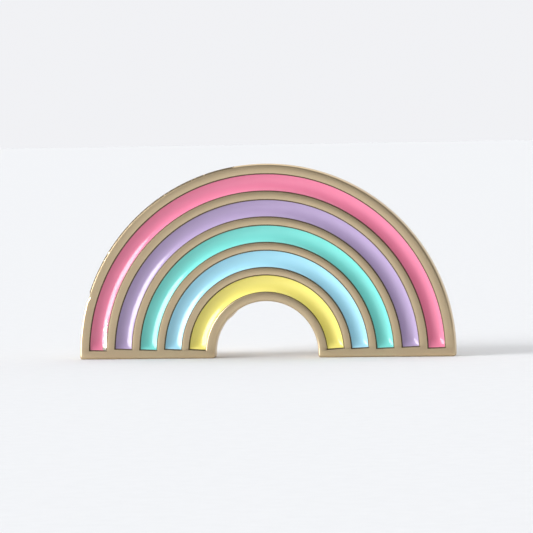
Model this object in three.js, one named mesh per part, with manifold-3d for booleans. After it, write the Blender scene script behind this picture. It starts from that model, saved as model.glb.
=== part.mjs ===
// A soft-enamel lapel pin: a die-struck half ring with five enamelled bands, held to cloth by
// two posts and two butterfly clutches.
//
// Millimetres, +Z up. The origin lies on the plate's back face, midway between the two posts.
// The enamelled face looks along -Y and the posts point along +Y. Someone who looks at the
// face has +X on the right. "Left" and "right" name the sides as that person sees them.

import * as THREE from 'three';
import { mergeVertices } from 'three/addons/utils/BufferGeometryUtils.js';
import Module from 'manifold-3d';

// ---- Driving dimensions ----

// Base plate: a half ring that stands on two flat feet
const OUTER_RADIUS = 16.0;
const ARCH_RADIUS = 4.4;
const FOOT_DROP = 0.4; // how far the feet reach below the arcs' centre
const PLATE_THICKNESS = 1.5;
const EDGE_ROUND = 0.2; // rounding that tumbling leaves on every edge
const HALF_RING_FACETS = 40;

// Enamelled cells, counted outwards from the arch
const FIRST_CELL_RADIUS = 5.2;
const CELL_WIDTH = 1.37;
const FIRST_RIDGE_WIDTH = 0.72;
const RIDGE_GROWTH = 0.03; // each ridge is this much wider than the one inside it
const CELL_DEPTH = 0.75;
const CELL_END_HEIGHT = 0.42; // flat ends of the cells, above the arcs' centre
const FILL_DROP_AT_WALLS = 0.08;
const FILL_DROP_MIDDLE = 0.32;
const FILL_FACETS = 4; // facets across the dip of a fill

// Posts: headed nails soldered to the back
const POST_SPACING = 14.4;
const POST_ABOVE_FEET = 7.4;
const POST_RADIUS = 0.58;
const POST_LENGTH = 8.0;
const POST_HEAD_RADIUS = 1.3;
const POST_HEAD_THICKNESS = 0.3;
const POST_TIP_LENGTH = 1.1;
const GROOVE_HEIGHT = 6.2; // middle of the groove, above the plate's back
const GROOVE_RADIUS = 0.42;
const GROOVE_HALF_WIDTH = 0.23;
const SOLDER_RADIUS = 1.95;

// Butterfly clutches, in heights above the rim that presses on the cloth
const CLUTCH_GAP = 2.8; // from the plate's back to that rim when the spring is in the groove
const SHEET = 0.35;
const CAP_RADIUS = 5.5;
const CAP_HOLE_RADIUS = 0.72;
const CAP_DISH = 0.75; // height of the middle of the dish
const HOUSING_LENGTH = 4.2;
const HOUSING_WIDTH = 3.8;
const HOUSING_TOP = 5.85;
const HOUSING_FLANGE = 0.8;
const WING_PIVOT_X = 1.5;
const WING_PIVOT_HEIGHT = 1.4;
const WING_ROOT_HALF_WIDTH = 1.35;
const WING_HALF_WIDTH = 2.3;
const WING_NECK_END = 3.0; // the wing widens beyond this distance from the post
const WING_REACH = 5.35;
const WIRE_RADIUS = 0.2;
const SPRING_HEIGHT = GROOVE_HEIGHT - CLUTCH_GAP;

// Gaps between pieces
const FIT_GAP = 0.02;

// ---- Derived places ----

const CENTRE_Z = FOOT_DROP - POST_ABOVE_FEET; // the arcs' common centre
const CAP_TOP = CAP_DISH + SHEET;

// ---- Finishes ----

const GOLD_PLATING = { color: 0xb9a589, roughness: 0.32, metalness: 1.0 };
const POLISHED_BRASS = { color: 0xd8b36a, roughness: 0.28, metalness: 1.0 };
const SOLDER = { color: 0xb4b2ac, roughness: 0.5, metalness: 1.0 };
const SPRING_STEEL = { color: 0xc3c5c8, roughness: 0.3, metalness: 1.0 };
const ENAMELS = [
  { name: 'enamel_yellow', color: 0xf9eb96 },
  { name: 'enamel_blue', color: 0xb6e5f6 },
  { name: 'enamel_mint', color: 0xa2e7de },
  { name: 'enamel_lavender', color: 0xb9aacd },
  { name: 'enamel_pink', color: 0xf096b2 },
];

// ---- Solids: closed meshes that can be joined and cut ----

const wasm = await Module();
wasm.setup();

function toSolid(geometry) {
  const plain = geometry.clone();
  plain.deleteAttribute('normal');
  plain.deleteAttribute('uv');
  const merged = mergeVertices(plain, 1e-5);
  return new wasm.Manifold(new wasm.Mesh({
    numProp: 3,
    vertProperties: new Float32Array(merged.attributes.position.array),
    triVerts: new Uint32Array(merged.index.array),
  }));
}

function toGeometry(solid) {
  const mesh = solid.getMesh();
  const geometry = new THREE.BufferGeometry();
  geometry.setAttribute('position', new THREE.BufferAttribute(mesh.vertProperties, 3));
  geometry.setIndex(new THREE.BufferAttribute(mesh.triVerts, 1));
  geometry.computeVertexNormals();
  return geometry;
}

// A named piece, placed by its group
function piece(name, geometry, finish) {
  const mesh = new THREE.Mesh(geometry, new THREE.MeshStandardMaterial(finish));
  mesh.name = name;
  return mesh;
}

// A profile of [radius, height] pairs, anticlockwise, turned about the Y axis
function turned(profile, facets) {
  const points = profile.map(([radius, height]) => new THREE.Vector2(radius, height));
  return new THREE.LatheGeometry(points, facets);
}

// The same for a ring, whose profile closes on itself away from the axis
function turnedRing(profile, facets) {
  return turned([...profile, profile[0]], facets);
}

// The block of everything above a height, larger than the plate
function blockAbove(height) {
  const size = 3 * OUTER_RADIUS;
  const block = new THREE.BoxGeometry(size, size, size);
  block.translate(0, 0, height + size / 2);
  return toSolid(block);
}

// The part of a ring about the Y axis that lies above a height
function halfRing(profile, height) {
  const ring = toSolid(turnedRing(profile, 2 * HALF_RING_FACETS));
  return ring.intersect(blockAbove(height));
}

// ---- Base plate and enamel, about the arcs' centre ----

const cells = ENAMELS.map((enamel, index) => {
  const ridges = index * FIRST_RIDGE_WIDTH + RIDGE_GROWTH * index * (index - 1) / 2;
  const inner = FIRST_CELL_RADIUS + index * CELL_WIDTH + ridges;
  return { ...enamel, inner, outer: inner + CELL_WIDTH };
});

function plateOutline() {
  const outline = new THREE.Shape();
  outline.moveTo(OUTER_RADIUS, -FOOT_DROP);
  outline.lineTo(OUTER_RADIUS, 0);
  outline.absarc(0, 0, OUTER_RADIUS, 0, Math.PI, false);
  outline.lineTo(-OUTER_RADIUS, -FOOT_DROP);
  outline.lineTo(-ARCH_RADIUS, -FOOT_DROP);
  outline.lineTo(-ARCH_RADIUS, 0);
  outline.absarc(0, 0, ARCH_RADIUS, Math.PI, 0, true);
  outline.lineTo(ARCH_RADIUS, -FOOT_DROP);
  outline.closePath();
  return outline;
}

function basePlate() {
  const blank = new THREE.ExtrudeGeometry(plateOutline(), {
    depth: PLATE_THICKNESS - 2 * EDGE_ROUND,
    curveSegments: HALF_RING_FACETS / 2,
    bevelThickness: EDGE_ROUND,
    bevelSize: EDGE_ROUND,
    bevelOffset: -EDGE_ROUND,
    bevelSegments: 2,
  });
  blank.translate(0, 0, EDGE_ROUND);
  blank.rotateX(Math.PI / 2);
  const floor = CELL_DEPTH - PLATE_THICKNESS;
  const clear = -2 * PLATE_THICKNESS;
  return cells.reduce((plate, { inner, outer }) => {
    const profile = [[inner, clear], [outer, clear], [outer, floor], [inner, floor]];
    return plate.subtract(halfRing(profile, CELL_END_HEIGHT));
  }, toSolid(blank));
}

// A fill of enamel: flat below, and dipped between the two walls that it wets
function enamelFill({ inner, outer }) {
  const floor = CELL_DEPTH - PLATE_THICKNESS - FIT_GAP;
  const middle = (inner + outer) / 2;
  const reach = (outer - inner) / 2 - FIT_GAP;
  const surface = [];
  for (let step = 0; step <= FILL_FACETS; step += 1) {
    const across = 2 * step / FILL_FACETS - 1;
    const rise = (FILL_DROP_MIDDLE - FILL_DROP_AT_WALLS) * across * across;
    surface.push([middle + across * reach, FILL_DROP_MIDDLE - rise - PLATE_THICKNESS]);
  }
  const profile = [...surface, [middle + reach, floor], [middle - reach, floor]];
  return halfRing(profile, CELL_END_HEIGHT + FIT_GAP);
}

// ---- Posts, standing on the plate's back along +Y ----

function post() {
  const shoulder = POST_LENGTH - POST_TIP_LENGTH;
  const mouth = GROOVE_HALF_WIDTH + 0.05;
  return turned([
    [0, FIT_GAP],
    [POST_HEAD_RADIUS, FIT_GAP],
    [POST_HEAD_RADIUS, POST_HEAD_THICKNESS],
    [POST_RADIUS + 0.12, POST_HEAD_THICKNESS + 0.05],
    [POST_RADIUS, POST_HEAD_THICKNESS + 0.2],
    [POST_RADIUS, GROOVE_HEIGHT - mouth],
    [GROOVE_RADIUS, GROOVE_HEIGHT - GROOVE_HALF_WIDTH],
    [GROOVE_RADIUS, GROOVE_HEIGHT + GROOVE_HALF_WIDTH],
    [POST_RADIUS, GROOVE_HEIGHT + mouth],
    [POST_RADIUS, shoulder],
    [0.12, POST_LENGTH - 0.06],
    [0, POST_LENGTH],
  ], 20);
}

// The bead of solder round a post's head
function solderFillet() {
  const inner = POST_HEAD_RADIUS + FIT_GAP;
  const crest = POST_HEAD_THICKNESS + 0.04;
  return turnedRing([
    [inner, FIT_GAP],
    [SOLDER_RADIUS, FIT_GAP],
    [inner + 0.3, 0.12],
    [inner + 0.1, crest],
    [inner, crest],
  ], 28);
}

// ---- Clutch, about the post's axis, with the cloth's side at height 0 ----

// A dished washer with a rolled rim
function clutchCap() {
  return turnedRing([
    [CAP_HOLE_RADIUS, CAP_DISH],
    [0.55 * CAP_RADIUS, CAP_DISH],
    [0.72 * CAP_RADIUS, 0.4],
    [0.9 * CAP_RADIUS, 0.1],
    [CAP_RADIUS - 0.3, 0],
    [CAP_RADIUS - 0.06, 0.1],
    [CAP_RADIUS, 0.33],
    [CAP_RADIUS - 0.06, 0.56],
    [CAP_RADIUS - 0.3, 0.66],
    [0.9 * CAP_RADIUS, 0.1 + SHEET],
    [0.72 * CAP_RADIUS, 0.4 + SHEET],
    [0.55 * CAP_RADIUS, CAP_TOP],
    [CAP_HOLE_RADIUS, CAP_TOP],
  ], 40);
}

// A bridge of bent sheet, open at both ends, whose flanges lie on the cap
function clutchHousing() {
  const half = HOUSING_WIDTH / 2;
  const base = CAP_TOP + FIT_GAP;
  const bend = 0.5;
  const section = new THREE.Shape();
  section.moveTo(half + HOUSING_FLANGE, base);
  section.lineTo(half + HOUSING_FLANGE, base + SHEET);
  section.lineTo(half, base + SHEET);
  section.lineTo(half, HOUSING_TOP - bend);
  section.absarc(half - bend, HOUSING_TOP - bend, bend, 0, Math.PI / 2, false);
  section.lineTo(bend - half, HOUSING_TOP);
  section.absarc(bend - half, HOUSING_TOP - bend, bend, Math.PI / 2, Math.PI, false);
  section.lineTo(-half, base + SHEET);
  section.lineTo(-half - HOUSING_FLANGE, base + SHEET);
  section.lineTo(-half - HOUSING_FLANGE, base);
  section.lineTo(SHEET - half, base);
  section.lineTo(SHEET - half, HOUSING_TOP - SHEET);
  section.lineTo(half - SHEET, HOUSING_TOP - SHEET);
  section.lineTo(half - SHEET, base);
  section.closePath();
  const bridge = new THREE.ExtrudeGeometry(section, {
    depth: HOUSING_LENGTH,
    curveSegments: 2,
    bevelEnabled: false,
  });
  bridge.translate(0, 0, -HOUSING_LENGTH / 2);
  // The section's across axis becomes Z, its height Y, and its length X
  bridge.rotateY(Math.PI / 2);
  return bridge;
}

// A bent leg inside the housing that runs out into a finger tab, on the +X side
function wing() {
  const line = new THREE.SplineCurve([
    new THREE.Vector2(WING_PIVOT_X, WING_PIVOT_HEIGHT - 0.18),
    new THREE.Vector2(WING_PIVOT_X + 0.08, 2.4),
    new THREE.Vector2(WING_PIVOT_X + 0.16, 3.7),
    new THREE.Vector2(2.1, 4.35),
    new THREE.Vector2(WING_NECK_END, 4.6),
    new THREE.Vector2(4.4, 4.9),
    new THREE.Vector2(WING_REACH - 0.1, 5.2),
  ]);
  const steps = 18;
  const outerSide = [];
  const innerSide = [];
  for (let step = 0; step <= steps; step += 1) {
    const point = line.getPoint(step / steps);
    const along = line.getTangent(step / steps);
    const across = new THREE.Vector2(along.y, -along.x).multiplyScalar(SHEET / 2);
    outerSide.push(point.clone().add(across));
    innerSide.unshift(point.clone().sub(across));
  }
  const bent = new THREE.ExtrudeGeometry(new THREE.Shape([...outerSide, ...innerSide]), {
    depth: 2 * WING_HALF_WIDTH + 2,
    bevelEnabled: false,
  });
  bent.translate(0, 0, -WING_HALF_WIDTH - 1);

  const corner = 1.1;
  const outline = new THREE.Shape();
  outline.moveTo(WING_PIVOT_X - 1, -WING_ROOT_HALF_WIDTH);
  outline.lineTo(WING_NECK_END, -WING_ROOT_HALF_WIDTH);
  outline.lineTo(WING_NECK_END + 0.4, -WING_HALF_WIDTH);
  outline.lineTo(WING_REACH - corner, -WING_HALF_WIDTH);
  outline.absarc(WING_REACH - corner, corner - WING_HALF_WIDTH, corner, -Math.PI / 2, 0, false);
  outline.absarc(WING_REACH - corner, WING_HALF_WIDTH - corner, corner, 0, Math.PI / 2, false);
  outline.lineTo(WING_NECK_END + 0.4, WING_HALF_WIDTH);
  outline.lineTo(WING_NECK_END, WING_ROOT_HALF_WIDTH);
  outline.lineTo(WING_PIVOT_X - 1, WING_ROOT_HALF_WIDTH);
  outline.closePath();
  const plan = new THREE.ExtrudeGeometry(outline, {
    depth: 2 * HOUSING_TOP,
    curveSegments: 3,
    bevelEnabled: false,
  });
  plan.translate(0, 0, -HOUSING_TOP);
  plan.rotateX(Math.PI / 2);
  return toGeometry(toSolid(bent).intersect(toSolid(plan)));
}

// A hairpin of wire that grips the post's groove and crosses its own free ends
function clutchSpring() {
  const grip = GROOVE_RADIUS + FIT_GAP + WIRE_RADIUS;
  const lift = 0.24;
  const wayPoints = [
    [1.18, lift, -1.3],
    [0.62, lift, -1.14],
    [0, lift, -0.96],
    [-0.5, 0.1, -0.74],
    [-grip, 0, -0.4],
    [-grip, 0, 0],
    [-grip, 0, 0.5],
    [-0.45, 0, 1.06],
    [0, 0, 1.27],
    [0.45, 0, 1.06],
    [grip, 0, 0.5],
    [grip, 0, 0],
    [grip, 0, -0.4],
    [0.5, -0.1, -0.74],
    [0, -lift, -0.96],
    [-0.62, -lift, -1.14],
    [-1.18, -lift, -1.3],
  ];
  const path = new THREE.CatmullRomCurve3(
    wayPoints.map(([x, rise, z]) => new THREE.Vector3(x, SPRING_HEIGHT + rise, z)),
  );
  const section = new THREE.Shape();
  section.absarc(0, 0, WIRE_RADIUS, 0, 2 * Math.PI, false);
  return new THREE.ExtrudeGeometry(section, {
    steps: 56,
    curveSegments: 4,
    extrudePath: path,
    bevelEnabled: false,
  });
}

// ---- Assembly ----

const enamelPin = new THREE.Group();

const badge = new THREE.Group();
badge.position.z = CENTRE_Z;
badge.add(piece('base_plate', toGeometry(basePlate()), GOLD_PLATING));
for (const cell of cells) {
  const finish = { color: cell.color, roughness: 0.12, metalness: 0.0 };
  badge.add(piece(cell.name, toGeometry(enamelFill(cell)), finish));
}
enamelPin.add(badge);

for (const [side, sign] of [['left', -1], ['right', 1]]) {
  const fixing = new THREE.Group();
  fixing.position.x = sign * POST_SPACING / 2;
  fixing.add(piece(`${side}_post`, post(), GOLD_PLATING));
  fixing.add(piece(`${side}_solder_fillet`, solderFillet(), SOLDER));

  const clutch = new THREE.Group();
  clutch.position.y = CLUTCH_GAP;
  clutch.add(piece(`${side}_clutch_cap`, clutchCap(), POLISHED_BRASS));
  clutch.add(piece(`${side}_clutch_housing`, clutchHousing(), POLISHED_BRASS));
  clutch.add(piece(`${side}_clutch_spring`, clutchSpring(), SPRING_STEEL));
  const outerWing = piece(`${side}_outer_wing`, wing(), POLISHED_BRASS);
  outerWing.rotation.y = sign > 0 ? 0 : Math.PI;
  clutch.add(outerWing);
  const innerWing = piece(`${side}_inner_wing`, wing(), POLISHED_BRASS);
  innerWing.rotation.y = sign > 0 ? Math.PI : 0;
  clutch.add(innerWing);
  fixing.add(clutch);
  enamelPin.add(fixing);
}

export default enamelPin;
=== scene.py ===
import math

import bmesh
import bpy
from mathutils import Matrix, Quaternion, Vector, noise


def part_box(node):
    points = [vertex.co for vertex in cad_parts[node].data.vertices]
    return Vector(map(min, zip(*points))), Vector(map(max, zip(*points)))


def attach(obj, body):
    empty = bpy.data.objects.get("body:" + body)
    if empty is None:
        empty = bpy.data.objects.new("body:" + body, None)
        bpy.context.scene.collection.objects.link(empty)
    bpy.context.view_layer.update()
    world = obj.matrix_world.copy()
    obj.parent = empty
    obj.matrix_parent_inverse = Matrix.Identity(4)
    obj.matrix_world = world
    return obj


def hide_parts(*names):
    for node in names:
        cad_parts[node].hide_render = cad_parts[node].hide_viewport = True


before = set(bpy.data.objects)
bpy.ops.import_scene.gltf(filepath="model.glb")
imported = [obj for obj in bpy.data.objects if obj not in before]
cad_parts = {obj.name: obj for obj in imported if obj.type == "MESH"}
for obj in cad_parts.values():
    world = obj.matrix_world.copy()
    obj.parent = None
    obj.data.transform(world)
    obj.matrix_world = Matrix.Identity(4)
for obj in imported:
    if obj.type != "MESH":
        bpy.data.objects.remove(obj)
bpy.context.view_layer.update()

bl_info = {
    "name": "Enamel Pin Builder",
    "version": (1, 0, 0),
    "blender": (4, 5, 0),
    "location": "View3D > Sidebar > Enamel Pin",
    "description": "Models a half-ring soft-enamel pin with butterfly clutches around its CAD frame",
    "category": "Object",
}

MM = 0.001
TOUCH = 1e-6  # metres: places nearer than this count as one height
MERGE = 1e-7  # metres: vertices nearer than this become one
FULL_TURN = 2 * math.pi
PLATE_LOW, PLATE_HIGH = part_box("base_plate")
POST_LOW, POST_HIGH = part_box("right_post")
CAP_LOW, CAP_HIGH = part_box("right_clutch_cap")
HOUSING_LOW, HOUSING_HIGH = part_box("right_clutch_housing")
_, WING_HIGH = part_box("right_outer_wing")
SPRING_LOW, SPRING_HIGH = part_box("right_clutch_spring")

FRONT = PLATE_LOW.y  # the tops of the raised lines
OUTER_RADIUS = PLATE_HIGH.x
FOOT_DROP = 0.4 * MM
CENTRE = Vector((0, 0, PLATE_HIGH.z - OUTER_RADIUS))  # the arcs' common centre
POST_X = (POST_LOW.x + POST_HIGH.x) / 2
CLOTH_SIDE = CAP_LOW.y  # where the clutch presses on the cloth
SIDES = (("left", -1), ("right", 1))
ENAMELS = ("yellow", "blue", "mint", "lavender", "pink")  # from the arch outwards


# ---- Sizes and colours that a user may change ----

def length(name, description, millimetres):
    """A size in metres, written in millimetres."""
    return bpy.props.FloatProperty(
        name=name,
        description=description,
        default=millimetres * MM,
        min=0.0,
        unit="LENGTH",
        subtype="DISTANCE",
        precision=5,
    )


def colour(name, description, red, green, blue):
    """A linear colour."""
    return bpy.props.FloatVectorProperty(
        name=name,
        description=description,
        default=(red, green, blue),
        min=0.0,
        max=1.0,
        size=3,
        subtype="COLOR",
    )


class PinSizes(bpy.types.PropertyGroup):
    """Sizes of the struck plate, its fills and its hardware."""

    arch_radius: length("Arch Radius", "Radius of the opening under the half ring", 4.4)
    edge_round: length("Edge Rounding", "Rounding that tumbling leaves on the outline", 0.2)
    first_cell: length("First Cell", "Inner radius of the cell nearest the arch", 5.2)
    cell_width: length("Cell Width", "Width of each enamelled cell", 1.37)
    first_ridge: length("First Ridge", "Width of the raised line nearest the arch", 0.72)
    ridge_growth: length("Ridge Growth", "How much wider each next raised line is", 0.03)
    cell_depth: length("Cell Depth", "Depth of the struck cells", 0.75)
    cell_end: length("Cell End", "Height of the cells' flat ends above the centre", 0.42)
    ridge_round: length("Ridge Rounding", "Rounding along the raised lines", 0.11)
    fill_edge: length("Fill Edge", "Depth of the enamel where it wets a wall", 0.1)
    fill_dip: length("Fill Dip", "How far the middle of a fill sinks below its edge", 0.33)
    sheet: length("Sheet", "Thickness of the clutches' brass", 0.35)
    wire: length("Wire", "Radius of the hairpin springs", 0.2)


class PinColours(bpy.types.PropertyGroup):
    """Colours of the enamels and metals, in linear light."""

    gold: colour("Plating", "Pale gold plating of plate and posts", 0.72, 0.57, 0.365)
    brass: colour("Brass", "Stamped brass of the clutches", 0.72, 0.52, 0.24)
    solder: colour("Solder", "Dull solder round the posts", 0.44, 0.43, 0.40)
    steel: colour("Spring Steel", "Drawn wire of the springs", 0.56, 0.57, 0.58)
    yellow: colour("Yellow", "Innermost enamel", 0.97, 0.86, 0.22)
    blue: colour("Blue", "Second enamel", 0.42, 0.80, 0.96)
    mint: colour("Mint", "Middle enamel", 0.23, 0.79, 0.72)
    lavender: colour("Lavender", "Fourth enamel", 0.50, 0.39, 0.62)
    pink: colour("Pink", "Outermost enamel", 0.90, 0.255, 0.40)


def cell_radii(sizes, index):
    """Inner and outer radius of a cell, counted from the arch."""
    ridges = index * sizes.first_ridge + sizes.ridge_growth * index * (index - 1) / 2
    inner = sizes.first_cell + index * sizes.cell_width + ridges
    return inner, inner + sizes.cell_width


# ---- Modelling by hand, with nothing else selected ----

def begin(place):
    """Starts a piece as one vertex at a place and leaves it in edit mode."""
    if bpy.context.object and bpy.context.object.mode != "OBJECT":
        bpy.ops.object.mode_set(mode="OBJECT")
    bpy.ops.object.select_all(action="DESELECT")
    bpy.ops.mesh.primitive_plane_add(size=MM, location=(0, 0, 0))
    bpy.ops.object.mode_set(mode="EDIT")
    bpy.ops.mesh.select_mode(type="VERT")
    bpy.ops.mesh.select_all(action="SELECT")
    bpy.ops.mesh.merge(type="CENTER")
    bpy.ops.transform.translate(value=place)
    return bpy.context.object


def pull(step):
    """Extrudes what is selected by a step."""
    bpy.ops.mesh.extrude_region_move(TRANSFORM_OT_translate={"value": step})


def draw(points):
    """Draws a line of edges through the points and leaves the piece in edit mode."""
    points = [Vector(point) for point in points]
    piece = begin(points[0])
    for last, point in zip(points, points[1:]):
        pull(point - last)
    return piece


def pick(piece, kind, test):
    """Selects the vertices, edges or faces that pass a test, and nothing else."""
    bpy.ops.mesh.select_mode(type=kind)
    bpy.ops.mesh.select_all(action="DESELECT")
    mesh = bmesh.from_edit_mesh(piece.data)
    parts = {"VERT": mesh.verts, "EDGE": mesh.edges, "FACE": mesh.faces}[kind]
    for part in parts:
        if test(part):
            part.select_set(True)
    mesh.select_flush_mode()
    bmesh.update_edit_mesh(piece.data)


def spin(centre, steps, angle, axis=(0, 1, 0)):
    """Turns the whole line about an axis."""
    bpy.ops.mesh.select_all(action="SELECT")
    bpy.ops.mesh.spin(steps=steps, angle=angle, center=centre, axis=axis)


def tidy_mesh():
    """Merges doubles and points every face outwards."""
    bpy.ops.mesh.select_all(action="SELECT")
    bpy.ops.mesh.remove_doubles(threshold=MERGE)
    bpy.ops.mesh.normals_make_consistent(inside=False)


def apply_modifier(piece, kind, settings):
    """Adds a modifier, sets it and applies it."""
    bpy.ops.object.mode_set(mode="OBJECT")
    modifier = piece.modifiers.new(kind.title(), kind)
    for name, value in settings.items():
        setattr(modifier, name, value)
    bpy.ops.object.modifier_apply(modifier=modifier.name)


def press(piece, direction, amount, field):
    """Presses a relief into the piece: field gives each point a share from 0 to 1."""
    bpy.ops.object.mode_set(mode="OBJECT")
    weights = piece.vertex_groups.new(name="Relief")
    for vertex in piece.data.vertices:
        weights.add([vertex.index], field(vertex.co), "REPLACE")
    modifier = piece.modifiers.new("Relief", "DISPLACE")
    modifier.direction = direction
    modifier.mid_level = 0.0
    modifier.strength = amount
    modifier.vertex_group = weights.name
    bpy.ops.object.modifier_apply(modifier=modifier.name)
    piece.vertex_groups.clear()


def turned(profile, x, steps=72):
    """Turns a profile of (radius, height) pairs in metres about a post's axis."""
    piece = draw([(x + radius, height, 0) for radius, height in profile])
    spin((x, 0, 0), steps, FULL_TURN)
    tidy_mesh()
    return piece


def finish_piece(piece, name, body, node, material, smooth=35.0):
    """Names a piece, rests it at the origin and hands it to the frame."""
    bpy.ops.object.mode_set(mode="OBJECT")
    bpy.ops.object.transform_apply(location=True, rotation=True, scale=True)
    bpy.ops.object.shade_smooth_by_angle(angle=math.radians(smooth))
    apply_modifier(piece, "WEIGHTED_NORMAL", {"keep_sharp": True, "weight": 100})
    piece.name = name
    piece.data.name = name
    piece.data.materials.clear()
    piece.data.materials.append(material)
    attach(piece, body)
    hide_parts(node)


def copy_across(piece, distance):
    """Copies a piece along X with its own mesh."""
    bpy.ops.object.mode_set(mode="OBJECT")
    bpy.ops.object.select_all(action="DESELECT")
    piece.select_set(True)
    bpy.context.view_layer.objects.active = piece
    bpy.ops.object.duplicate(linked=False)
    copy = bpy.context.object
    bpy.ops.transform.translate(value=(distance, 0, 0))
    return copy


# ---- Materials ----

class Signal:
    """A shader socket that takes part in sums, and adds the nodes that they need."""

    def __init__(self, tree, socket):
        self.tree = tree
        self.socket = socket

    def node(self, kind, settings=None, inputs=None, output=0):
        """Adds a node: its type, its settings, then the values or links of its sockets."""
        made = self.tree.nodes.new(kind)
        for name, value in (settings or {}).items():
            setattr(made, name, value)
        for name, value in (inputs or {}).items():
            if isinstance(value, Signal):
                self.tree.links.new(value.socket, made.inputs[name])
            else:
                made.inputs[name].default_value = value
        return Signal(self.tree, made.outputs[output])

    def maths(self, operation, first, second):
        """Adds a Math node."""
        return self.node("ShaderNodeMath", {"operation": operation}, {0: first, 1: second})

    def rise(self, low, high):
        """A smooth step from 0 to 1 as the signal goes from low to high."""
        return self.node(
            "ShaderNodeMapRange", {"interpolation_type": "SMOOTHSTEP"}, {0: self, 1: low, 2: high}
        )

    def __add__(self, other):
        return self.maths("ADD", self, other)

    def __radd__(self, other):
        return self.maths("ADD", other, self)

    def __sub__(self, other):
        return self.maths("SUBTRACT", self, other)

    def __rsub__(self, other):
        return self.maths("SUBTRACT", other, self)

    def __mul__(self, other):
        return self.maths("MULTIPLY", self, other)

    def __gt__(self, other):
        return self.maths("GREATER_THAN", self, other)

    def __lt__(self, other):
        return self.maths("LESS_THAN", self, other)


def grain(place, size, detail):
    """Noise from 0 to 1 whose features are about one size in metres across."""
    return place.node(
        "ShaderNodeTexNoise", None, {"Vector": place, "Scale": 1 / size, "Detail": detail}
    )


def tint(signal, factor, first, second):
    """Mixes two colours, each an RGB triple or a signal."""
    first = first if isinstance(first, Signal) else (*first, 1)
    second = second if isinstance(second, Signal) else (*second, 1)
    return signal.node("ShaderNodeMix", {"data_type": "RGBA"}, {0: factor, 6: first, 7: second}, 2)


def shaded(shade, colour_in):
    """An RGB triple times a number."""
    return tuple(shade * value for value in colour_in)


def finish_name(slot):
    """The name of a slot's finish, apart from the plain material that the frame brings."""
    return f"{slot}_finish"


def new_material(name):
    """A material's shader node, and the object's own coordinates."""
    material = bpy.data.materials.new(finish_name(name))
    material.use_nodes = True
    tree = material.node_tree
    shader = tree.nodes["Principled BSDF"]
    coordinates = tree.nodes.new("ShaderNodeTexCoord")
    return material, shader, Signal(tree, coordinates.outputs["Object"])


def feed(shader, name, signal):
    """Links a signal to one of the shader's sockets."""
    signal.tree.links.new(signal.socket, shader.inputs[name])


def bumped(height, depth, under=None):
    """Turns a height signal from 0 to 1 into a normal, over another bump if given."""
    inputs = {"Height": height, "Distance": depth, "Strength": 1.0}
    if under:
        inputs["Normal"] = under
    return height.node("ShaderNodeBump", None, inputs)


def metal_material(name, base, roughness, grain_size, grain_depth, tarnish=0.1):
    """Polished or drawn metal with faint clouds, fine grain and uneven polish."""
    material, shader, place = new_material(name)
    clouds = grain(place, 1.4 * MM, 4.0)
    fine = grain(place, grain_size, 3.0)
    worn = tint(place, clouds * tarnish * 2, base, shaded(0.7, base))
    feed(shader, "Base Color", worn)
    feed(shader, "Roughness", roughness - 0.05 + clouds * 0.06 + fine * 0.05)
    feed(shader, "Normal", bumped(fine, grain_depth))
    shader.inputs["Metallic"].default_value = 1.0
    return material


def around_arcs(place):
    """A point's x and y, its height above the arcs' centre, and its distance from it."""
    parts = place.node("ShaderNodeSeparateXYZ", None, {"Vector": place}).socket.node
    x, y, z = (Signal(place.tree, parts.outputs[axis]) for axis in "XYZ")
    height = z - CENTRE.z
    return x, y, height, place.maths("SQRT", x * x + height * height, 0.0)


def plating_material(sizes, base):
    """Pale gold plating: brushed lines, a stippled back, and painted shade on the struck walls and
    on the upper-left rim.
    """
    material, shader, place = new_material("pale_gold_plating")
    x, y, height, radius = around_arcs(place)
    clouds = grain(place, 1.6 * MM, 4.0)
    fine = grain(place, 0.09 * MM, 3.0)
    ragged = grain(place, 0.35 * MM, 3.0)
    cells = (radius > sizes.first_cell - 0.05 * MM) * (radius < OUTER_RADIUS - 0.6 * MM)
    # painted shade: the struck walls of the cells are darkened where the raised lines shade the
    # recesses
    walls = (y > ragged * 0.008 * MM + FRONT) * cells * (y < -0.3 * MM) * (height > 0)
    # painted shade: the front bevel of the outer rim is darkened in ragged patches on the upper left
    # only
    shaded_rim_band = (radius > OUTER_RADIUS - 0.13 * MM) * (y < FRONT + 0.22 * MM)
    upper_left_shade = (height > 4.7 * MM) * (x < -2.5 * MM) * (ragged > 0.36)
    # painted shade: the walls and the upper-left rim darken the plating's colour towards a twelfth
    # of it
    painted_shade = place.maths("MAXIMUM", walls, shaded_rim_band * upper_left_shade)
    back = y > -0.01 * MM
    bright = tint(place, clouds * 0.2 + fine * 0.25, base, shaded(0.7, base))
    feed(shader, "Base Color", tint(place, painted_shade * 0.85, bright, shaded(0.12, base)))
    feed(shader, "Roughness", 0.26 + clouds * 0.08 + fine * 0.1 + back * 0.06 + painted_shade * 0.3)
    stipple = grain(place, 0.16 * MM, 1.0)
    under = bumped(fine, 0.005 * MM)
    feed(shader, "Normal", bumped(stipple * back, 0.02 * MM, under))
    shader.inputs["Metallic"].default_value = 1.0
    return material


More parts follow.
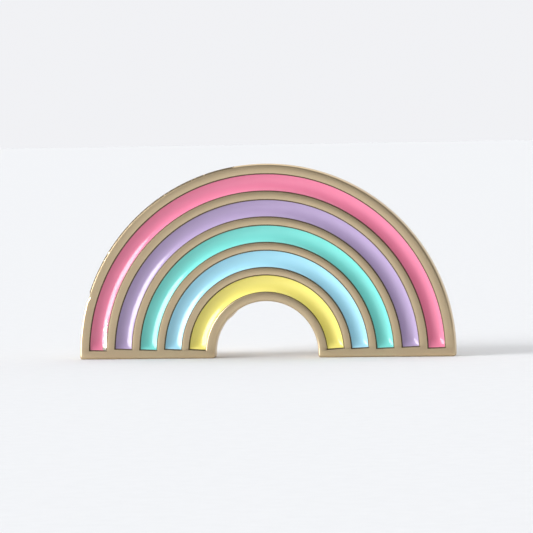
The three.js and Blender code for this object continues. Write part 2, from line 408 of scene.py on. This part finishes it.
def enamel_material(name, base, inner, void):
    """Glossy enamel with clouds of pigment, and a ragged void if asked."""
    material, shader, place = new_material(name)
    x, _, height, radius = around_arcs(place)
    clouds = grain(place, 2.5 * MM, 3.0)
    specks = grain(place, 0.12 * MM, 2.0)
    pigment = tint(place, clouds * 0.2 + specks * 0.08, base, shaded(0.86, base))
    if void:
        ragged = grain(place, 0.35 * MM, 5.0)
        reach = ragged * 0.9 * MM + (inner - 0.2 * MM)
        bare = (radius < reach) * (height < ragged * 4.4 * MM) * (x < 0)
        pigment = tint(place, bare, pigment, (0.80, 0.74, 0.64))
        feed(shader, "Metallic", bare * 0.6)
    feed(shader, "Base Color", pigment)
    feed(shader, "Roughness", 0.1 + clouds * 0.08)
    ripple = grain(place, 0.9 * MM, 1.0)
    feed(shader, "Normal", bumped(ripple, 0.012 * MM, bumped(specks, 0.0008 * MM)))
    shader.inputs["IOR"].default_value = 1.45
    shader.inputs["Coat Weight"].default_value = 0.15
    shader.inputs["Coat Roughness"].default_value = 0.1
    return material


def make_materials(context):
    """Makes the finishes of all of the record's slots."""
    sizes = context.scene.pin_sizes
    colours = context.scene.pin_colours
    plating_material(sizes, tuple(colours.gold))
    metal_material("clutch_brass", tuple(colours.brass), 0.24, 0.08 * MM, 0.0025 * MM)
    metal_material("solder", tuple(colours.solder), 0.42, 0.25 * MM, 0.03 * MM, 0.3)
    metal_material("spring_wire", tuple(colours.steel), 0.25, 0.05 * MM, 0.003 * MM)
    for index, name in enumerate(ENAMELS):
        inner, _ = cell_radii(sizes, index)
        shade = tuple(getattr(colours, name))
        enamel_material(f"enamel_{name}", shade, inner, name == "pink")


def material(context, slot):
    """The finish of one of the record's slots, made when first asked for."""
    if finish_name(slot) not in bpy.data.materials:
        make_materials(context)
    return bpy.data.materials[finish_name(slot)]


# ---- Operators, one for each piece or group of like pieces ----

HALF_TURN_STEPS = 240


class PIN_OT_base_plate(bpy.types.Operator):
    """Strike the half-ring plate with its raised lines and rounded edges"""

    bl_idname = "pin.base_plate"
    bl_label = "Base Plate"

    sharp = math.radians(60)  # edges turning by more than this are rounded
    nick_angle = math.radians(162.3)
    nick_reach, nick_depth = 0.32 * MM, 0.1 * MM
    nick_back = -0.5 * MM  # the nick ends this far in front of the back face

    def execute(self, context):
        sizes = context.scene.pin_sizes
        cells = [cell_radii(sizes, index) for index in range(len(ENAMELS))]
        radii = [sizes.arch_radius, *(radius for cell in cells for radius in cell), OUTER_RADIUS]
        piece = draw([(radius, FRONT, CENTRE.z) for radius in radii])
        spin(CENTRE, HALF_TURN_STEPS, math.pi)
        bpy.ops.mesh.select_all(action="SELECT")
        bpy.ops.mesh.remove_doubles(threshold=MERGE)
        self.cut_cell_ends(piece, sizes, cells)
        self.draw_feet(piece)
        bpy.ops.mesh.select_all(action="SELECT")
        pull((0, -FRONT, 0))
        self.strike_cells(piece, sizes, cells)
        tidy_mesh()
        self.round_edges(piece, sizes)
        self.nick_rim(piece)
        finish_piece(
            piece, "struck_plate", "badge", "base_plate",
            material(context, "pale_gold_plating"),
        )
        return {"FINISHED"}

    @staticmethod
    def radius(point):
        """Distance of a point from the arcs' centre, in the plate's plane."""
        return math.hypot(point.x, point.z - CENTRE.z)

    def cut_cell_ends(self, piece, sizes, cells):
        """Cuts across the cells and the lines between them where the cells end flat."""
        low, high = cells[0][0], cells[-1][1]
        pick(piece, "FACE", lambda face: low < self.radius(face.calc_center_median()) < high)
        end = CENTRE + Vector((0, FRONT, sizes.cell_end))
        bpy.ops.mesh.bisect(plane_co=end, plane_no=(0, 0, 1))

        def beside_end(face):
            across = self.radius(face.calc_center_median())
            return not low < across < high and min(vert.co.z for vert in face.verts) < end.z

        pick(piece, "FACE", beside_end)
        bpy.ops.mesh.dissolve_faces()

    def draw_feet(self, piece):
        """Pulls the open ends straight down to the feet."""
        level = CENTRE.z + MERGE
        pick(piece, "EDGE", lambda edge: all(vert.co.z < level for vert in edge.verts))
        pull((0, 0, -FOOT_DROP))

    def strike_cells(self, piece, sizes, cells):
        """Sinks the cells into the front."""
        front = FRONT + TOUCH
        end = CENTRE.z + sizes.cell_end

        def in_cell(face):
            middle = face.calc_center_median()
            radius = self.radius(middle)
            inside = any(inner < radius < outer for inner, outer in cells)
            return inside and middle.z > end and middle.y < front

        pick(piece, "FACE", in_cell)
        pull((0, sizes.cell_depth, 0))

    def round_edges(self, piece, sizes):
        """Rounds the raised lines a little and the outline more."""
        def kind_of(edge):
            if len(edge.link_faces) != 2 or edge.calc_face_angle() < self.sharp:
                return None
            middle = (edge.verts[0].co + edge.verts[1].co) / 2
            radius = self.radius(middle)
            rim = radius > OUTER_RADIUS - 0.1 * MM or radius < sizes.arch_radius + 0.1 * MM
            if rim or middle.z < CENTRE.z - FOOT_DROP / 2:
                return "outline"
            return "line" if middle.y < FRONT + TOUCH else None

        pick(piece, "EDGE", lambda edge: kind_of(edge) == "line")
        bpy.ops.mesh.bevel(offset=sizes.ridge_round, segments=3, affect="EDGES")
        pick(piece, "EDGE", lambda edge: kind_of(edge) == "outline")
        bpy.ops.mesh.bevel(offset=sizes.edge_round, segments=5, affect="EDGES")

    def nick_rim(self, piece):
        """Dents the outer rim a little above the left foot."""
        spot = Vector((math.cos(self.nick_angle), 0, math.sin(self.nick_angle)))
        place = CENTRE + OUTER_RADIUS * spot

        def at_spot(vert):
            along = Vector((vert.co.x - place.x, vert.co.z - place.z)).length
            return along < self.nick_reach and vert.co.y < self.nick_back

        pick(piece, "VERT", at_spot)
        inwards = (CENTRE - place).normalized() * self.nick_depth
        bpy.ops.transform.translate(value=(inwards.x, 0, inwards.z))


class PIN_OT_enamel_fills(bpy.types.Operator):
    """Fill the cells with enamel that wets their walls and dips in between"""

    bl_idname = "pin.enamel_fills"
    bl_label = "Enamel Fills"

    gap = 0.005 * MM
    strips = 20

    def execute(self, context):
        sizes = context.scene.pin_sizes
        for index, name in enumerate(ENAMELS):
            self.fill(context, sizes, index, name)
        return {"FINISHED"}

    def fill(self, context, sizes, index, name):
        """Pours one fill."""
        inner, outer = cell_radii(sizes, index)
        inner, outer = inner + self.gap, outer - self.gap
        level = FRONT + sizes.fill_edge
        end = CENTRE.z + sizes.cell_end + self.gap
        middle, reach = (inner + outer) / 2, (outer - inner) / 2
        places = [middle - reach * math.cos(math.pi * step / self.strips)
                  for step in range(self.strips + 1)]
        piece = draw([(radius, level, CENTRE.z) for radius in places])
        spin(CENTRE, HALF_TURN_STEPS, math.pi)
        bpy.ops.mesh.select_all(action="SELECT")
        bpy.ops.mesh.remove_doubles(threshold=MERGE)
        bpy.ops.mesh.select_all(action="SELECT")
        bpy.ops.mesh.bisect(plane_co=(0, level, end), plane_no=(0, 0, 1), clear_inner=True)
        bpy.ops.mesh.select_all(action="SELECT")
        depth = sizes.cell_depth - sizes.fill_edge - self.gap
        pull((0, depth, 0))
        tidy_mesh()

        def dip(point):
            if point.y > level + TOUCH:
                return 0.0
            across = (math.hypot(point.x, point.z - CENTRE.z) - middle) / reach
            from_end = (point.z - end) / (0.3 * MM)
            wave = noise.noise(Vector((point.x, index * MM, point.z)) / (2.2 * MM))
            bowl = max(0.0, 1 - across * across)
            share = bowl * (1 - math.exp(-max(0.0, from_end)))
            return min(1.0, max(0.0, share * (0.92 + 0.08 * wave)))

        press(piece, "Y", sizes.fill_dip, dip)
        slot = f"enamel_{name}"
        finish_piece(piece, f"{name}_fill", "badge", slot, material(context, slot))


class PIN_OT_posts(bpy.types.Operator):
    """Turn the two headed posts and the solder beads that hold them"""

    bl_idname = "pin.posts"
    bl_label = "Posts and Solder"

    def execute(self, context):
        radius, length_out = 0.58 * MM, POST_HIGH.y
        head, groove = 1.3 * MM, 0.42 * MM
        grip = 6.2 * MM
        nail = [
            (0, 0.02 * MM), (head, 0.02 * MM), (head, 0.24 * MM), (head - 0.06 * MM, 0.3 * MM),
            (radius + 0.22 * MM, 0.32 * MM), (radius + 0.06 * MM, 0.4 * MM), (radius, 0.55 * MM),
            (radius, grip - 0.3 * MM), (radius - 0.02 * MM, grip - 0.27 * MM),
            (groove, grip - 0.23 * MM), (groove, grip + 0.23 * MM),
            (radius - 0.02 * MM, grip + 0.27 * MM), (radius, grip + 0.3 * MM),
            (radius, length_out - 1.2 * MM), (radius - 0.03 * MM, length_out - 1.06 * MM),
            (0.16 * MM, length_out - 0.12 * MM), (0.08 * MM, length_out - 0.03 * MM),
            (0, length_out),
        ]
        bead = [
            (head + 0.02 * MM, 0.02 * MM), (1.95 * MM, 0.02 * MM), (1.86 * MM, 0.05 * MM),
            (1.66 * MM, 0.09 * MM), (1.5 * MM, 0.17 * MM), (1.42 * MM, 0.27 * MM),
            (1.37 * MM, 0.33 * MM), (head + 0.02 * MM, 0.34 * MM), (head + 0.02 * MM, 0.02 * MM),
        ]
        for side, sign in SIDES:
            post = turned(nail, sign * POST_X, 48)
            finish_piece(
                post, f"{side}_nail_post", "badge", f"{side}_post",
                material(context, "pale_gold_plating"),
            )
            solder = turned(bead, sign * POST_X, 64)
            finish_piece(
                solder, f"{side}_solder_bead", "badge", f"{side}_solder_fillet",
                material(context, "solder"), 60.0,
            )
        return {"FINISHED"}


class PIN_OT_clutch_caps(bpy.types.Operator):
    """Turn the dished washers of the clutches, with their rolled rims"""

    bl_idname = "pin.clutch_caps"
    bl_label = "Clutch Caps"

    def execute(self, context):
        sizes = context.scene.pin_sizes
        sheet = sizes.sheet
        rim = CAP_HIGH.x - POST_X
        dish = CAP_HIGH.y - CLOTH_SIDE - sheet
        hole = 0.72 * MM
        bead = 0.33 * MM
        slope = [(hole, dish), (1.5 * MM, dish), (2.7 * MM, dish), (3.1 * MM, dish - 0.06 * MM),
                 (3.6 * MM, 0.45 * MM), (4.1 * MM, 0.24 * MM), (4.6 * MM, 0.13 * MM),
                 (rim - 0.72 * MM, 0.08 * MM)]
        under = [(radius, CLOTH_SIDE + height) for radius, height in slope]
        over = [(radius, height + sheet) for radius, height in reversed(under)]
        roll = [
            (rim - bead + bead * math.sin(turn), CLOTH_SIDE + bead - bead * math.cos(turn))
            for turn in (math.pi * step / 10 for step in range(11))
        ]
        profile = [*under, *roll, *over, under[0]]
        for side, sign in SIDES:
            piece = turned(profile, sign * POST_X, 96)
            finish_piece(
                piece, f"{side}_dished_cap", f"{side}_cap", f"{side}_clutch_cap",
                material(context, "clutch_brass"), 50.0,
            )
        return {"FINISHED"}


class PIN_OT_clutch_housings(bpy.types.Operator):
    """Fold the bridge of each clutch from sheet and stake its flanges"""

    bl_idname = "pin.clutch_housings"
    bl_label = "Clutch Housings"

    wall_place = 1.9 * MM  # from the middle to the outside of each wall
    top_bend, foot_bend = 0.55 * MM, 0.18 * MM
    stake_across, stake_along = 1.2 * MM, 2.3 * MM
    stake_size, stake_depth = 0.24 * MM, 0.1 * MM
    dimple_radius, dimple_edge, dimple_depth = 0.95 * MM, 0.3 * MM, 0.16 * MM
    columns = 30
    half_rows, row_step = 26, 0.1  # rows on each side of the middle, and millimetres apart

    def execute(self, context):
        sheet = context.scene.pin_sizes.sheet
        base = HOUSING_LOW.y + sheet / 2
        top = HOUSING_HIGH.y - sheet / 2
        wall = self.wall_place - sheet / 2
        flange = HOUSING_HIGH.z
        section = [(base, flange), (base, wall), (top, wall), (top, -wall), (base, -wall),
                   (base, -flange)]
        left = HOUSING_LOW.x
        piece = draw([(left, y, z) for y, z in section])
        width = HOUSING_HIGH.x - left
        bpy.ops.mesh.select_all(action="SELECT")
        pull((width, 0, 0))

        def bend_at(height):
            def test(edge):
                first, second = (vert.co for vert in edge.verts)
                along = abs(first.x - second.x) > width / 2
                return along and abs(first.z) < flange - TOUCH and abs(first.y - height) < TOUCH
            return test

        pick(piece, "EDGE", bend_at(top))
        bpy.ops.mesh.bevel(offset=self.top_bend, segments=6, affect="EDGES")
        pick(piece, "EDGE", bend_at(base))
        bpy.ops.mesh.bevel(offset=self.foot_bend, segments=4, affect="EDGES")
        for cut in range(1, self.columns):
            place = (left + width * cut / self.columns, 0, 0)
            bpy.ops.mesh.select_all(action="SELECT")
            bpy.ops.mesh.bisect(plane_co=place, plane_no=(1, 0, 0))
        for cut in range(-self.half_rows, self.half_rows + 1):
            place = (0, 0, cut * self.row_step * MM)
            bpy.ops.mesh.select_all(action="SELECT")
            bpy.ops.mesh.bisect(plane_co=place, plane_no=(0, 0, 1))
        tidy_mesh()
        middle = (HOUSING_LOW.x + HOUSING_HIGH.x) / 2

        def stakes(point):
            if point.y > base + 0.1 * MM:
                return 0.0
            spots = [
                Vector((middle + self.stake_across * a, self.stake_along * b))
                for a in (-1, 1) for b in (-1, 1)
            ]
            near = min((Vector((point.x, point.z)) - spot).length for spot in spots)
            return max(0.0, min(1.0, 1.5 - near / self.stake_size))

        def top_dimple(point):
            if point.y < top - 0.1 * MM:
                return 0.0
            near = math.hypot(point.x - middle, point.z)
            return max(0.0, min(1.0, (self.dimple_radius - near) / self.dimple_edge))

        press(piece, "Y", self.stake_depth, stakes)
        press(piece, "Y", -self.dimple_depth, top_dimple)
        apply_modifier(piece, "SOLIDIFY", {"thickness": sheet, "offset": 0.0})
        apply_modifier(piece, "BEVEL", {"width": 0.05 * MM, "segments": 2, "angle_limit": 0.9})
        left_piece = copy_across(piece, -2 * POST_X)
        for copy, side in ((piece, "right"), (left_piece, "left")):
            bpy.ops.object.select_all(action="DESELECT")
            copy.select_set(True)
            bpy.context.view_layer.objects.active = copy
            finish_piece(
                copy, f"{side}_folded_bridge", f"{side}_frame", f"{side}_clutch_housing",
                material(context, "clutch_brass"), 40.0,
            )
        return {"FINISHED"}


class PIN_OT_clutch_wings(bpy.types.Operator):
    """Bend the finger tabs of the clutches, with pressed grip ribs"""

    bl_idname = "pin.clutch_wings"
    bl_label = "Clutch Wings"

    strips = 24
    ribs_from, ribs_to, rib_pitch = 3.5, 5.0, 0.5  # millimetres out from the post
    rib_half_width, rib_height = 1.6, 0.07 * MM

    def execute(self, context):
        sheet = context.scene.pin_sizes.sheet
        line = self.side_line()
        root = 1.35 * MM
        wide = WING_HIGH.z
        piece = draw([(POST_X + x, CLOTH_SIDE + y, -root) for x, y in line])
        bpy.ops.mesh.select_all(action="SELECT")
        for _ in range(self.strips):
            pull((0, 0, 2 * root / self.strips))
        tidy_mesh()
        reach = line[-1][0]
        for x, y in line:
            place = Vector((POST_X + x, CLOTH_SIDE + y))
            pick(piece, "VERT", lambda vert: (vert.co.xy - place).length < MERGE)
            share = self.width(x, root, wide, reach) / root
            bpy.ops.transform.resize(value=(1, 1, share), center_override=(0, 0, 0))

        def ribs(point):
            along = (point.x - POST_X) / MM
            if not self.ribs_from < along < self.ribs_to:
                return 0.0
            across = max(0.0, 1 - (abs(point.z) / (self.rib_half_width * MM)) ** 8)
            return across * math.sin(math.pi * (along - self.ribs_from) / self.rib_pitch) ** 2

        press(piece, "Y", self.rib_height, ribs)
        bpy.ops.object.mode_set(mode="EDIT")
        tidy_mesh()
        apply_modifier(piece, "SOLIDIFY", {"thickness": sheet * 0.98, "offset": 0.0})
        apply_modifier(piece, "BEVEL", {"width": 0.06 * MM, "segments": 2, "angle_limit": 0.9})
        for side, sign in SIDES:
            for wing in ("outer", "inner"):
                turned_round = (sign < 0) == (wing == "outer")
                copy = copy_across(piece, 0)
                centre = (POST_X, 0, 0)
                if turned_round:
                    bpy.ops.transform.resize(value=(-1, 1, 1), center_override=centre)
                bpy.ops.transform.translate(value=((sign - 1) * POST_X, 0, 0))
                bpy.ops.object.transform_apply(location=True, rotation=True, scale=True)
                bpy.ops.object.mode_set(mode="EDIT")
                tidy_mesh()
                finish_piece(
                    copy, f"{side}_{wing}_finger_tab", f"{side}_{wing}_tab",
                    f"{side}_{wing}_wing", material(context, "clutch_brass"), 40.0,
                )
        bpy.data.objects.remove(piece)
        return {"FINISHED"}

    @staticmethod
    def side_line():
        """The middle of the bent sheet, from its foot to its tip, in millimetres times MM."""
        corners = [(1.5, 1.22), (1.58, 2.4), (1.66, 3.7), (2.1, 4.35), (3.0, 4.6), (4.4, 4.9),
                   (5.25, 5.2)]
        return [(x * MM, y * MM) for x, y in smooth_path(corners, 7)]

    @staticmethod
    def width(x, root, wide, reach):
        """Half the tab's width: narrow inside the housing, wide and round beyond it."""
        neck, shoulder = 3.0 * MM, 3.5 * MM
        if x <= neck:
            return root
        share = min(1.0, (x - neck) / (shoulder - neck))
        grown = root + (wide - root) * share * share * (3 - 2 * share)
        corner = 1.0 * MM
        over = max(0.0, x - (reach - corner)) / corner
        return grown - corner * 0.9 * (1 - math.sqrt(max(0.0, 1 - over * over)))


def smooth_path(corners, steps):
    """Points along a smooth curve through the corners."""
    points = [Vector(corner) for corner in corners]
    ends = [2 * points[0] - points[1], *points, 2 * points[-1] - points[-2]]
    path = []
    for before, start, end, after in zip(ends, ends[1:], ends[2:], ends[3:]):
        for step in range(steps):
            t = step / steps
            path.append(0.5 * (
                2 * start + (end - before) * t
                + (2 * before - 5 * start + 4 * end - after) * t * t
                + (3 * start - before - 3 * end + after) * t * t * t
            ))
    path.append(points[-1])
    return [tuple(point) for point in path]


class PIN_OT_clutch_springs(bpy.types.Operator):
    """Bend the hairpin wires that grip the posts' grooves"""

    bl_idname = "pin.clutch_springs"
    bl_label = "Clutch Springs"

    def execute(self, context):
        wire = context.scene.pin_sizes.wire
        grip, lift = 0.64, 0.24
        half = [(0.7, lift, -1.22), (0.4, lift, -1.1), (0, lift, -0.96), (-0.5, 0.1, -0.74),
                (-grip, 0, -0.4), (-grip, 0, 0), (-grip, 0, 0.5), (-0.45, 0, 1.06)]
        other = [(-x, -y, z) for x, y, z in reversed(half)]
        corners = smooth_path([*half, (0, 0, 1.27), *other], 6)
        height = (SPRING_LOW.y + SPRING_HIGH.y) / 2
        for side, sign in SIDES:
            piece = draw([(sign * POST_X + x * MM, height + y * MM, z * MM) for x, y, z in corners])
            bpy.ops.object.mode_set(mode="OBJECT")
            bpy.ops.object.convert(target="CURVE")
            piece = bpy.context.object
            piece.data.bevel_depth = wire
            piece.data.bevel_resolution = 3
            piece.data.use_fill_caps = True
            bpy.ops.object.convert(target="MESH")
            piece = bpy.context.object
            bpy.ops.object.mode_set(mode="EDIT")
            tidy_mesh()
            finish_piece(
                piece, f"{side}_hairpin_wire", f"{side}_frame", f"{side}_clutch_spring",
                material(context, "spring_wire"), 60.0,
            )
        return {"FINISHED"}


class PIN_OT_stage(bpy.types.Operator):
    """Lay the pale floor and set the lights and the camera"""

    bl_idname = "pin.stage"
    bl_label = "Floor, Lights and Camera"

    paper_light = (0.88, 0.885, 0.91)  # what the lit floor looks like, and the air above it
    floor_size = 60.0
    key = ((-65, 10), 46, 5.0)  # direction, apparent width and strength
    overhead = ((0, 88), 60, 0.61)
    lens, sensor = 240.2, 36.0
    view_way, view_roll = (7.45, 2.0), -0.95  # degrees
    view_target = Vector((0.13 * MM, FRONT, 0.33 * MM))
    view_distance = 300 * MM

    def execute(self, context):
        if context.object and context.object.mode != "OBJECT":
            bpy.ops.object.mode_set(mode="OBJECT")
        bpy.ops.object.select_all(action="DESELECT")
        self.lay_floor()
        self.light_world(context)
        self.add_light("key_softbox", *self.key)
        self.add_light("overhead_softbox", *self.overhead)
        self.aim_camera(context)
        context.scene.view_settings.view_transform = "Standard"
        return {"FINISHED"}

    def lay_floor(self):
        """A plain pale sheet under the feet."""
        bpy.ops.mesh.primitive_plane_add(size=self.floor_size, location=(0, 0, PLATE_LOW.z))
        floor = bpy.context.object
        floor.name = "paper_floor"
        paper, shader, place = new_material("paper")
        fibres = grain(place, 1.2 * MM, 2.0)
        feed(shader, "Base Color", tint(place, fibres, (0.80, 0.81, 0.82), (0.84, 0.85, 0.86)))
        shader.inputs["Roughness"].default_value = 1.0
        shader.inputs["Specular IOR Level"].default_value = 0.0
        floor.data.materials.append(paper)

    def light_world(self, context):
        """A pale room behind the pin and a dim one before it, dimmest on the right."""
        world = bpy.data.worlds.new("studio")
        world.use_nodes = True
        background = world.node_tree.nodes["Background"]
        coordinates = world.node_tree.nodes.new("ShaderNodeTexCoord")
        way = Signal(world.node_tree, coordinates.outputs["Generated"])
        parts = way.node("ShaderNodeSeparateXYZ", None, {"Vector": way}).socket.node
        across, along = (Signal(way.tree, parts.outputs[axis]) for axis in "XY")
        dim = 0.2 - across * 0.1
        pale = along.rise(-0.3, 0.0)
        background.inputs["Color"].default_value = (*self.paper_light, 1)
        feed(background, "Strength", dim + pale * (1 - dim))
        context.scene.world = world

    @staticmethod
    def direction(turn, rise):
        """A unit vector: turn goes from -Y towards +X, rise is above level, in degrees."""
        turn, rise = math.radians(turn), math.radians(rise)
        return Vector((
            math.sin(turn) * math.cos(rise), -math.cos(turn) * math.cos(rise), math.sin(rise)
        ))

    def add_light(self, name, towards, width, power):
        """A far, round soft light: its direction and apparent width in degrees."""
        light = bpy.data.lights.new(name, "SUN")
        light.angle = math.radians(width)
        light.energy = power
        place = bpy.data.objects.new(name, light)
        bpy.context.scene.collection.objects.link(place)
        back = self.direction(*towards)
        place.location = back * 0.3
        place.rotation_euler = back.to_track_quat("Z", "Y").to_euler()

    def aim_camera(self, context):
        """A long lens, a little to the right of square and just above level."""
        camera = bpy.data.cameras.new("camera")
        camera.lens = self.lens
        camera.sensor_width = self.sensor
        camera.clip_start, camera.clip_end = 0.01, 100
        place = bpy.data.objects.new("camera", camera)
        bpy.context.scene.collection.objects.link(place)
        back = self.direction(*self.view_way)
        place.location = self.view_target + back * self.view_distance
        roll = Quaternion((0, 0, 1), math.radians(self.view_roll))
        place.rotation_euler = (back.to_track_quat("Z", "Y") @ roll).to_euler()
        context.scene.camera = place


class PIN_PT_builder(bpy.types.Panel):
    """Lists the sizes, the colours and every building step"""

    bl_label = "Enamel Pin"
    bl_idname = "PIN_PT_builder"
    bl_space_type = "VIEW_3D"
    bl_region_type = "UI"
    bl_category = "Enamel Pin"

    def draw(self, context):
        layout = self.layout
        for group in (context.scene.pin_sizes, context.scene.pin_colours):
            for name in group.__annotations__:
                layout.prop(group, name)
        for step in STEPS:
            layout.operator(step.bl_idname)


STEPS = (
    PIN_OT_stage,
    PIN_OT_base_plate,
    PIN_OT_enamel_fills,
    PIN_OT_posts,
    PIN_OT_clutch_caps,
    PIN_OT_clutch_housings,
    PIN_OT_clutch_wings,
    PIN_OT_clutch_springs,
)
CLASSES = (PinSizes, PinColours, *STEPS, PIN_PT_builder)


def register():
    for kind in CLASSES:
        bpy.utils.register_class(kind)
    bpy.types.Scene.pin_sizes = bpy.props.PointerProperty(type=PinSizes)
    bpy.types.Scene.pin_colours = bpy.props.PointerProperty(type=PinColours)


def unregister():
    del bpy.types.Scene.pin_colours
    del bpy.types.Scene.pin_sizes
    for kind in reversed(CLASSES):
        bpy.utils.unregister_class(kind)


def main():
    """Builds the whole pin."""
    register()
    for step in STEPS:
        group, name = step.bl_idname.split(".")
        getattr(getattr(bpy.ops, group), name)()


if __name__ == "__main__":
    main()
